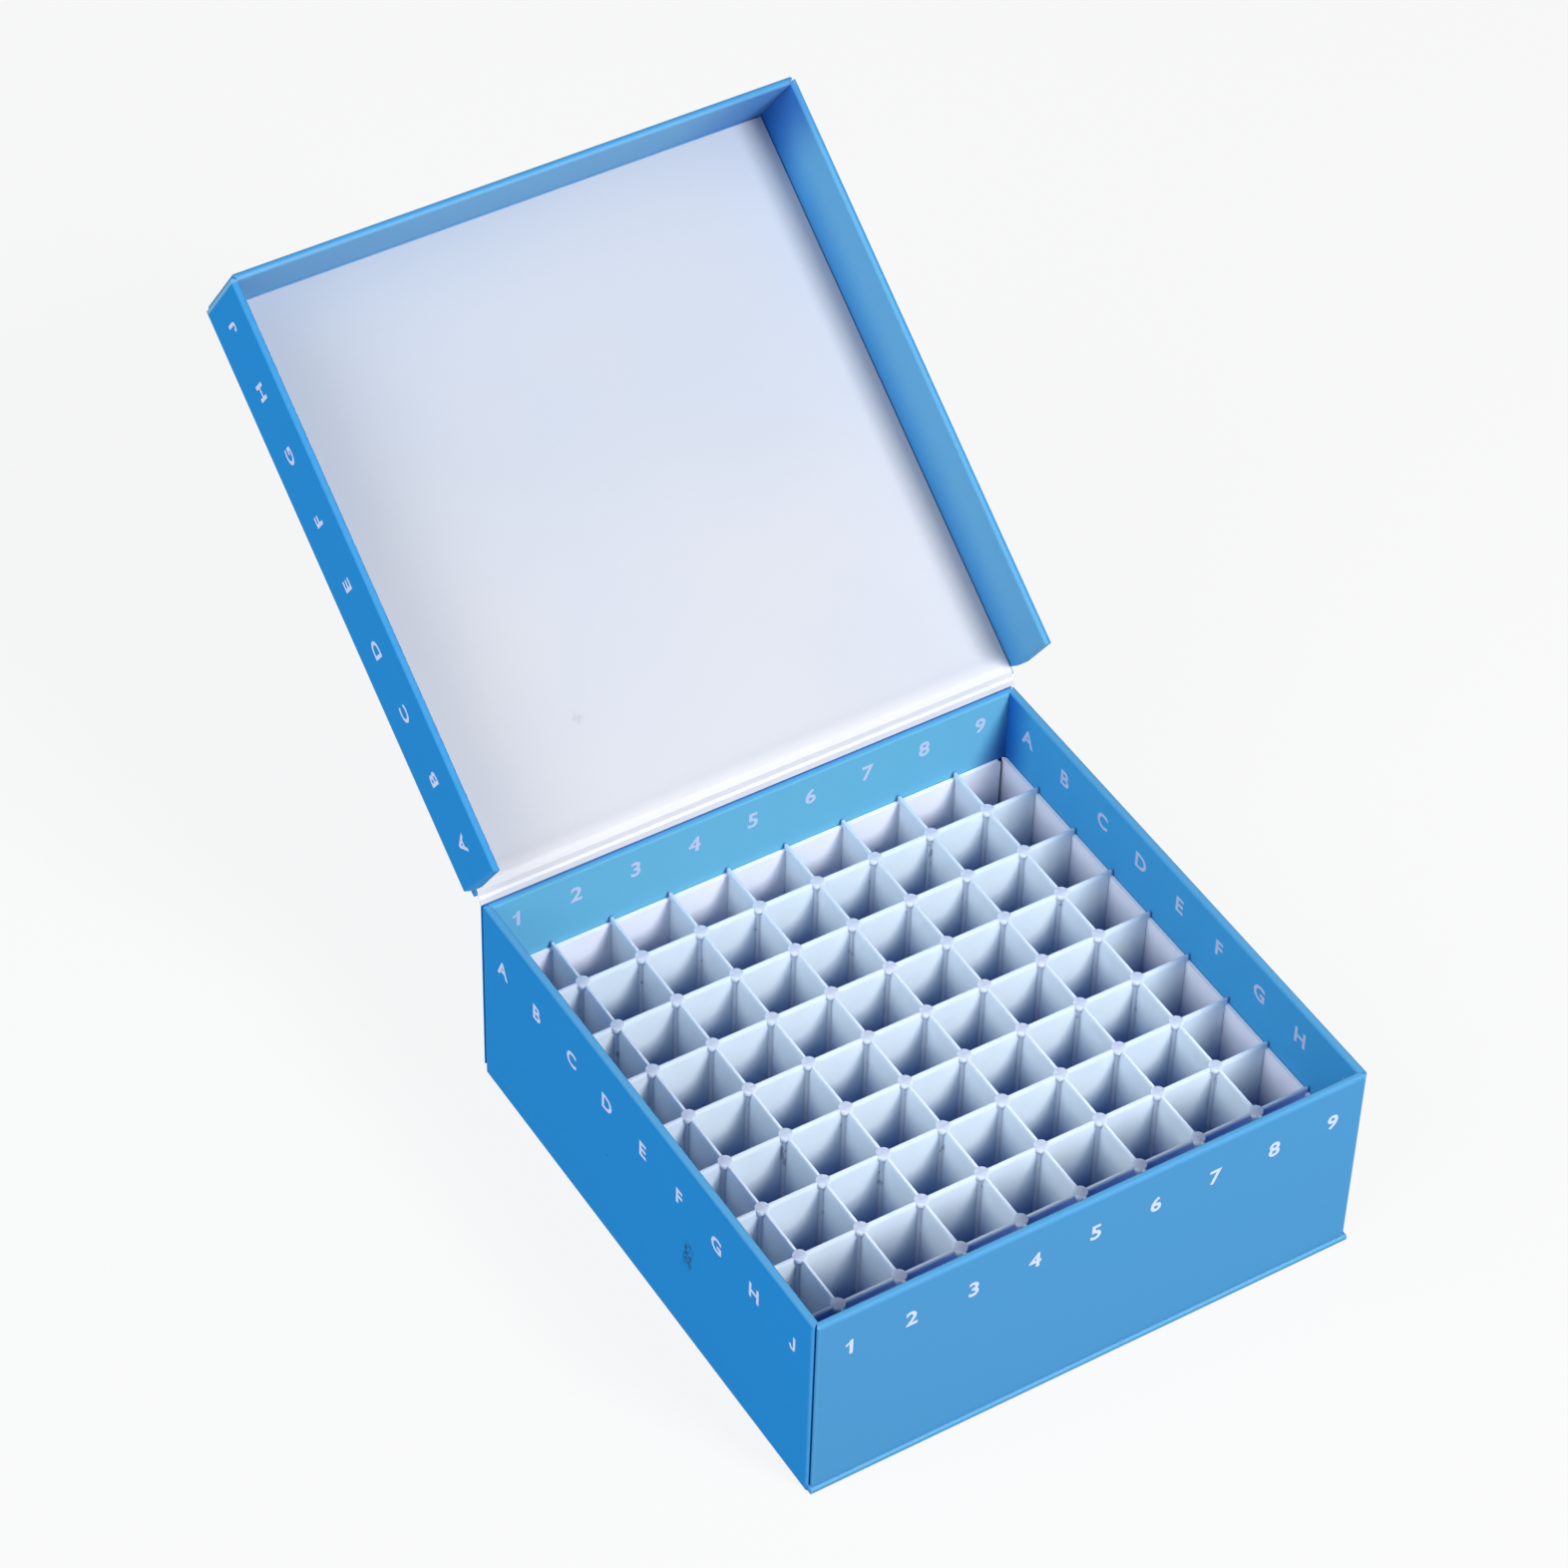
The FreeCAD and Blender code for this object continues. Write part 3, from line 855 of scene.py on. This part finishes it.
@dataclass
class BentSheet:
    """Sheet of paper that follows a bent path across the hinge."""

    name: str
    node: str
    slot: str
    half_width: float
    thickness: float
    columns: int = 48
    crease_angle: float = 22.0
    glued: float = 0.3 * MM
    # Waves across the sheet, by factor and start, times slanting ones, by factor across and along
    wave_across: Pair = (61.0, 1.3)
    wave_slant: Pair = (23.0, 900.0)

    def build(self, path: Sequence[Vector], step: float, waves: float, flat_from: float,
              finish: bpy.types.Material, start: Vector, end: Vector) -> bpy.types.Object:
        """Makes the sheet along its path across the hinge.

        Args:
            path: Points of the glued face in the plane x = 0, tray end first.
            step: Longest stretch between two rows of the mesh.
            waves: Height of the small waves where the paper is free.
            flat_from: Length along the path from which the sheet lies flat.
            finish: Its material.
            start, end: Not used.

        Returns:
            The sheet.
        """
        rows = self._rows(path, step)
        front, back = [], []
        run = 0.0
        for index, point in enumerate(rows):
            ahead = rows[min(index + 1, len(rows) - 1)] - rows[max(index - 1, 0)]
            normal = Vector((0, -ahead.z, ahead.y)).normalized()
            if index:
                run += (point - rows[index - 1]).length
            free = max(0.0, 1 - run / flat_from) if run > self.glued else 0.0
            for column in range(self.columns + 1):
                share = column / self.columns
                x = (2 * share - 1) * self.half_width
                wave = (math.sin(share * self.wave_across[0] + self.wave_across[1])
                        * math.sin(share * self.wave_slant[0] + run * self.wave_slant[1])
                        * waves * free)
                spot = Vector((x, point.y, point.z))
                back.append(spot + normal * max(wave, -self.thickness * 0.2))
                front.append(spot + normal * (self.thickness + wave))
        width = self.columns + 1
        total = len(rows) * width
        faces = []
        for row in range(len(rows) - 1):
            for column in range(self.columns):
                corner = row * width + column
                square = [corner, corner + 1, corner + width + 1, corner + width]
                faces.append(square)
                faces.append([total + number for number in reversed(square)])
        rim = ([column for column in range(width)]
               + [row * width + self.columns for row in range(1, len(rows))]
               + [(len(rows) - 1) * width + column for column in range(self.columns - 1, -1, -1)]
               + [row * width for row in range(len(rows) - 2, 0, -1)])
        for here, there in zip(rim, rim[1:] + rim[:1]):
            faces.append([here, there, there + total, here + total])
        piece = closed_mesh(self.name, front + back, faces)
        dress(piece, finish)
        smooth_by_angle(piece, self.crease_angle)
        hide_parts(self.node)
        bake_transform(piece)
        return piece

    def _rows(self, path: Sequence[Vector], step: float) -> list[Vector]:
        """Points along a path, no further apart than step."""
        rows = [path[0]]
        for here, there in zip(path[:-1], path[1:]):
            count = max(1, math.ceil((there - here).length / step))
            rows += [here.lerp(there, number / count) for number in range(1, count + 1)]
        return rows


# Outlines of the marks whose built-in shape has no flag or hook, one unit high
DRAWN = {
    "1": ((0.48, 0.0), (0.48, 1.0), (0.35, 1.0), (0.29, 0.89), (0.20, 0.81), (0.08, 0.75),
          (0.08, 0.60), (0.20, 0.65), (0.29, 0.72), (0.29, 0.0)),
    "J": ((0.55, 1.0), (0.55, 0.32), (0.52, 0.14), (0.43, 0.03), (0.29, 0.0), (0.14, 0.03),
          (0.05, 0.13), (0.02, 0.31), (0.19, 0.34), (0.22, 0.20), (0.29, 0.16), (0.34, 0.19),
          (0.36, 0.28), (0.36, 1.0)),
}


@dataclass(frozen=True)
class Spacing:
    """Pitch of a line of marks, shift of its middle mark and level of the line, in metres."""

    pitch: float
    shift: float
    level: float

    def along(self, step: float) -> float:
        """Place of a mark along its line.

        Args:
            step: Number of marks from the middle one.

        Returns:
            The distance in metres.
        """
        return self.shift + step * self.pitch


@dataclass
class Print:
    """One line of grid numbers or letters on a face."""

    name: str
    marks: Sequence[str]
    places: Sequence[Vector]
    across: Vector
    up: Vector
    body: str = BOX_BODY
    slot: str = "blue_board"
    height: float = 4.1 * MM
    proud: float = 0.012 * MM
    boldness: float = 0.024
    curve_steps: int = 3
    seam: float = 1e-5
    half_block: float = 0.01

    def _drawn(self, text: str) -> bpy.types.Object:
        """Flat prism of a mark that has its own outline."""
        return prism("mark", *([Vector((x, y, z)) for x, y in DRAWN[text]]
                               for z in (-self.half_block, self.half_block)))

    def _lettered(self, text: str) -> bpy.types.Object:
        """Text object of a mark in the built-in font, made bolder."""
        curve = bpy.data.curves.new("mark", "FONT")
        curve.body = text
        curve.size = 1.0
        curve.offset = self.boldness
        curve.extrude = self.half_block
        curve.resolution_u = self.curve_steps
        return added("mark", curve)

    def _mark(self, text: str) -> bpy.types.Mesh:
        """Mesh of one mark, centred and scaled to its height."""
        carrier = self._drawn(text) if text in DRAWN else self._lettered(text)
        bpy.context.view_layer.update()
        seen = carrier.evaluated_get(bpy.context.evaluated_depsgraph_get())
        mesh = bpy.data.meshes.new_from_object(seen)
        bpy.data.objects.remove(carrier)
        shape = bmesh.new()
        shape.from_mesh(mesh)
        bmesh.ops.remove_doubles(shape, verts=shape.verts, dist=self.seam)
        bmesh.ops.dissolve_degenerate(shape, dist=self.seam, edges=shape.edges)
        bmesh.ops.recalc_face_normals(shape, faces=shape.faces)
        shape.to_mesh(mesh)
        shape.free()
        corners = [vertex.co for vertex in mesh.vertices]
        low = Vector([min(corner[axis] for corner in corners) for axis in range(3)])
        high = Vector([max(corner[axis] for corner in corners) for axis in range(3)])
        scale = self.height / (high.y - low.y)
        mesh.transform(Matrix.Diagonal((scale, scale, self.proud / (2 * self.half_block), 1.0))
                       @ Matrix.Translation(-(low + high) / 2))
        return mesh

    def build(self, finish: bpy.types.Material) -> bpy.types.Object:
        """Makes the line of marks and lays it on its face."""
        outwards = self.across.cross(self.up)
        turn = Matrix((self.across, self.up, outwards)).transposed().to_4x4()
        laid = []
        for text, place in zip(self.marks, self.places):
            mesh = self._mark(text)
            mesh.transform(Matrix.Translation(place + outwards * self.proud / 2) @ turn)
            laid.append(mesh)
        piece = joined(self.name, laid, finish)
        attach(piece, self.body)
        return piece


class GridPrint:
    """All the numbers and letters that name the cells."""

    numbers = "123456789"
    letters = "ABCDEFGHJ"
    front = Spacing(14.0 * MM, 0.0, 39.7 * MM)
    left = Spacing(13.95 * MM, 0.7 * MM, 38.0 * MM)
    back_wall = Spacing(13.98 * MM, -0.9 * MM, 43.0 * MM)
    right_wall = Spacing(14.06 * MM, 1.9 * MM, 42.1 * MM)
    lid_side = Spacing(14.2 * MM, 66.6 * MM, 11.2 * MM)

    def lines(self) -> list[Print]:
        """The five printed lines, each on its face."""
        half = SIZES.half_width
        inner = half - SIZES.tray_board
        middle = (SIZES.cells - 1) / 2
        steps = [index - middle for index in range(SIZES.cells)]
        right, back, up = Vector((1, 0, 0)), Vector((0, 1, 0)), Vector((0, 0, 1))
        along_lid = (SIZES.opened(0, -1, 0) - SIZES.opened(0, 0, 0)).normalized()
        lid_up = (SIZES.opened(0, 0, 1) - SIZES.opened(0, 0, 0)).normalized()
        lid_x, lid_z = -SIZES.lid_half_width, SIZES.closed_height - self.lid_side.level
        return [
            Print("front_numbers", self.numbers,
                  [Vector((self.front.along(step), -half, self.front.level)) for step in steps],
                  right, up),
            Print("left_letters", self.letters,
                  [Vector((-half, -self.left.along(step), self.left.level)) for step in steps],
                  -back, up),
            Print("back_wall_numbers", self.numbers,
                  [Vector((self.back_wall.along(step), inner, self.back_wall.level)) for step in steps],
                  right, up),
            Print("right_wall_letters", self.letters,
                  [Vector((inner, -self.right_wall.along(step), self.right_wall.level))
                   for step in steps],
                  -back, up),
            Print("lid_side_letters", self.letters,
                  [SIZES.opened(lid_x, SIZES.lid_back - self.lid_side.along(step), lid_z)
                   for step in steps],
                  along_lid, lid_up, LID_BODY),
        ]

    def build(self, finish: bpy.types.Material) -> list[bpy.types.Object]:
        """Makes every line."""
        return [line.build(finish) for line in self.lines()]


class Papers:
    """The white lining and the blue hinge cover, both bent over the hinge."""

    rim_bare = 1.4 * MM
    lining = 0.35 * MM
    lining_half_width = 64.15 * MM
    lift = 0.02 * MM
    front_gap = 0.35 * MM
    waves = 0.07 * MM
    wavy_length = 7 * MM
    cover = 0.3 * MM
    cover_half_width = 63.7 * MM
    cover_foot = 1.5 * MM
    step = 4 * MM
    rim_creases = ((0.6 * MM, -0.06 * MM), (1.2 * MM, -0.14 * MM), (1.55 * MM, 0.0),
                   (1.9 * MM, 0.12 * MM))
    panel_creases = ((1.9 * MM, 0.0), (2.2 * MM, -0.05 * MM), (2.6 * MM, 0.0))

    def build_lining(self, finish: bpy.types.Material) -> bpy.types.Object:
        """White sheet from the tray's rim, over the hinge, to the lid's front."""
        ceiling = SIZES.closed_height - SIZES.lid_panel - self.lift
        inner = SIZES.half_depth - SIZES.tray_board
        rim_end = Vector((0, inner + self.rim_bare + self.lining, SIZES.tray_height + self.lift))
        leaves = SIZES.opened(0, SIZES.lid_back - 0.6 * MM, ceiling)
        rise = (leaves - rim_end).normalized()
        outwards = Vector((0, rise.z, -rise.y))
        path = [
            rim_end,
            *(rim_end + rise * along + outwards * raised for along, raised in self.rim_creases),
            leaves,
            *(SIZES.opened(0, SIZES.lid_back - along, ceiling + raised)
              for along, raised in self.panel_creases),
            SIZES.opened(0, SIZES.lid_front + SIZES.lid_wall + self.front_gap, ceiling),
        ]
        sheet = BentSheet("lid_lining_sheet", "lid_lining", "white_paper", self.lining_half_width,
                          self.lining)
        return sheet.build(path, self.step, self.waves, self.wavy_length, finish, rim_end, leaves)

    def build_cover(self, finish: bpy.types.Material) -> bpy.types.Object:
        """Blue paper up the back of the tray and over to the open lid."""
        half = SIZES.half_depth
        far = SIZES.opened(0, SIZES.lid_back + 0.1 * MM, SIZES.closed_height - 1.0 * MM)
        near = Vector((0, half, SIZES.tray_height - 0.55 * MM))
        path = [
            Vector((0, half, self.cover_foot)),
            Vector((0, half, SIZES.tray_height - 1.6 * MM)),
            near,
            near.lerp(far, 0.3) + Vector((0, -0.02 * MM, 0.12 * MM)),
            near.lerp(far, 0.7),
            far,
        ]
        sheet = BentSheet("hinge_cover_paper", "hinge_cover", "hinge_paper", self.cover_half_width,
                          -self.cover)
        return sheet.build(path, self.step, 0.0, self.wavy_length, finish, near, far)


class Boards:
    """The covered boards and the card liner, whose own solids show."""

    def dress(self) -> None:
        """Gives each solid its finish."""
        finishes = {
            "tray": CoveringPaper(Board.TRAY).material(),
            "lid": CoveringPaper(Board.LID).material(),
            "liner_frame": WhiteCard().material(),
        }
        for name, finish in finishes.items():
            for place in frame["nodes"][name].material_slots:
                place.material = finish


@dataclass(frozen=True)
class Lamp:
    """One soft lamp."""

    name: str
    place: Vector
    size: float
    watts: float
    tint: Colour


class Studio:
    """Pale floor, soft lamps and the camera."""

    aim = Vector((0.0, 0.03, 0.04))
    floor_half = 20.0
    floor_level = -0.2 * MM
    floor_shade = srgb(249, 249, 249)
    floor_glow = 0.93
    sky = (0.80, 0.90, 1.0, 1.0)
    sky_strength = 0.22
    camera_place = Vector((-409.87, -584.70, 812.06)) * MM
    azimuth = math.radians(32.77)
    elevation = math.radians(44.74)
    roll = math.radians(1.84)
    focal_pixels = 5274.23
    frame_pixels = 1572
    sensor_mm = 36.0

    def lamps(self) -> list[Lamp]:
        """The key from the front right and the fill from the left."""
        return [
            Lamp("key", Vector((0.36, -0.98, 0.93)), 0.4, 21.0, (1.0, 0.99, 0.97)),
            Lamp("fill", Vector((-1.1, -0.15, 0.9)), 1.0, 13.0, (0.95, 0.97, 1.0)),
        ]

    def build(self) -> None:
        """Sets up the whole studio."""
        self._floor()
        for lamp in self.lamps():
            self._lamp(lamp)
        self._world()
        self._camera()
        bpy.context.scene.view_settings.view_transform = "Standard"

    def _floor(self) -> None:
        """Pale floor that hardly takes a shadow."""
        corners = [(x * self.floor_half, y * self.floor_half, self.floor_level)
                   for x, y in ((-1, -1), (1, -1), (1, 1), (-1, 1))]
        mesh = bpy.data.meshes.new("floor")
        mesh.from_pydata(corners, [], [(0, 1, 2, 3)])
        floor = added("floor", mesh)
        graph = Graph("pale_floor")
        graph.finish(Base_Color=(0.06, 0.06, 0.06), Roughness=0.9, Specular_IOR_Level=0.0,
                     Emission_Color=self.floor_shade, Emission_Strength=self.floor_glow)
        dress(floor, graph.material)

    def _lamp(self, lamp: Lamp) -> None:
        """Adds a square lamp that looks at the box."""
        data = bpy.data.lights.new(lamp.name, "AREA")
        data.size = lamp.size
        data.energy = lamp.watts
        data.color = lamp.tint
        made = added(lamp.name, data)
        made.location = lamp.place
        made.rotation_euler = (self.aim - lamp.place).to_track_quat("-Z", "Y").to_euler()

    def _world(self) -> None:
        """Even pale surroundings."""
        world = bpy.data.worlds.new("surroundings")
        world.use_nodes = True
        ground = world.node_tree.nodes["Background"]
        ground.inputs["Color"].default_value = self.sky
        ground.inputs["Strength"].default_value = self.sky_strength
        bpy.context.scene.world = world

    def _camera(self) -> None:
        """Camera at the photograph's place and angle."""
        data = bpy.data.cameras.new("camera")
        data.sensor_width = self.sensor_mm
        data.lens = self.sensor_mm * self.focal_pixels / self.frame_pixels
        data.clip_start = 0.05
        data.clip_end = 60.0
        ahead = Vector((math.sin(self.azimuth) * math.cos(self.elevation),
                        math.cos(self.azimuth) * math.cos(self.elevation), -math.sin(self.elevation)))
        level = Vector((math.cos(self.azimuth), -math.sin(self.azimuth), 0))
        upright = level.cross(ahead)
        across = level * math.cos(self.roll) + upright * math.sin(self.roll)
        up = upright * math.cos(self.roll) - level * math.sin(self.roll)
        camera = added("camera", data)
        camera.matrix_world = Matrix.Translation(self.camera_place) @ Matrix(
            (across, up, -ahead)).transposed().to_4x4()
        bpy.context.scene.camera = camera


def main() -> None:
    """Builds every piece in order."""
    logging.basicConfig(level=logging.INFO, format="%(name)s: %(message)s")
    Studio().build()
    Boards().dress()
    pieces = [Divider().build(Moulding().material())]
    papers = Papers()
    pieces.append(papers.build_lining(LiningPaper().material()))
    pieces.append(papers.build_cover(CoveringPaper(Board.HINGE).material()))
    pieces += GridPrint().build(PrintInk().material())
    for piece in pieces:
        LOG.info("%s: %d faces", piece.name, len(piece.data.polygons))


if __name__ == "__main__":
    main()
